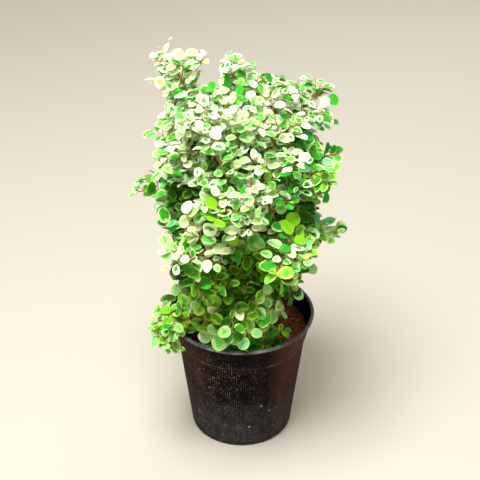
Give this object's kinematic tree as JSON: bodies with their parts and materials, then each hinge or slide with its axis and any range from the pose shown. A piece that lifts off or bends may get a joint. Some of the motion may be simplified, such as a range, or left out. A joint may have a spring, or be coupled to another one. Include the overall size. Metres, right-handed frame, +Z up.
{
  "type": "potted snow bush",
  "caption": "Potted snow bush: slender stems from red soil in a tapered round nursery pot, with arching boughs and masses of small rounded white and green leaves.",
  "frame": {"origin": "centre of the flat underside of the pot", "axes": "+Z up along the pot's axis, -Y towards the front of the plant as the picture shows it, +X to the right seen from the front"},
  "size_m": [0.3013, 0.2862, 0.5702],
  "materials": {
    "pot_plastic": "black moulded plastic, worn at the lip, with pale dust and dried streaks on the wall",
    "soil": "crumbly moist red-brown soil",
    "bark": "thin red-brown bark with fine pale pores and low ridges",
    "leaves_white": "thin soft leaves, white to mint with green centres, satin on top",
    "leaves_green": "thin soft leaves, light to dark green with pale margins, satin on top"
  },
  "bodies": {
    "root": {"pot": "pot_plastic", "soil": "soil", "stem_left": "bark", "stem_back": "bark", "stem_right": "bark", "stem_front_right": "bark", "stem_front_left": "bark", "bough_skirt_1": "bark", "bough_skirt_2": "bark", "bough_skirt_3": "bark", "bough_skirt_4": "bark", "bough_skirt_5": "bark", "bough_skirt_6": "bark", "bough_middle_1": "bark", "bough_middle_2": "bark", "bough_middle_3": "bark", "bough_middle_4": "bark", "bough_middle_5": "bark", "bough_middle_6": "bark", "bough_upper_1": "bark", "bough_upper_2": "bark", "bough_upper_3": "bark", "bough_upper_4": "bark", "bough_upper_5": "bark", "bough_upper_6": "bark", "bough_low_left": "bark", "bough_low_front": "bark", "bough_low_right": "bark", "leaves_top_left": "leaves_white", "leaves_top_back": "leaves_white", "leaves_top_right": "leaves_white", "leaves_top_front_right": "leaves_white", "leaves_top_front_left": "leaves_white", "leaves_upper_1": "leaves_white", "leaves_upper_2": "leaves_white", "leaves_upper_3": "leaves_white", "leaves_upper_4": "leaves_white", "leaves_upper_5": "leaves_white", "leaves_upper_6": "leaves_white", "leaves_middle_1": "leaves_white", "leaves_middle_2": "leaves_white", "leaves_middle_3": "leaves_white", "leaves_middle_4": "leaves_white", "leaves_middle_5": "leaves_white", "leaves_middle_6": "leaves_white", "leaves_skirt_1": "leaves_green", "leaves_skirt_2": "leaves_green", "leaves_skirt_3": "leaves_green", "leaves_skirt_4": "leaves_green", "leaves_skirt_5": "leaves_green", "leaves_skirt_6": "leaves_green", "leaves_low_left": "leaves_green", "leaves_low_front": "leaves_green", "leaves_low_right": "leaves_green"}
  },
  "joints": []
}
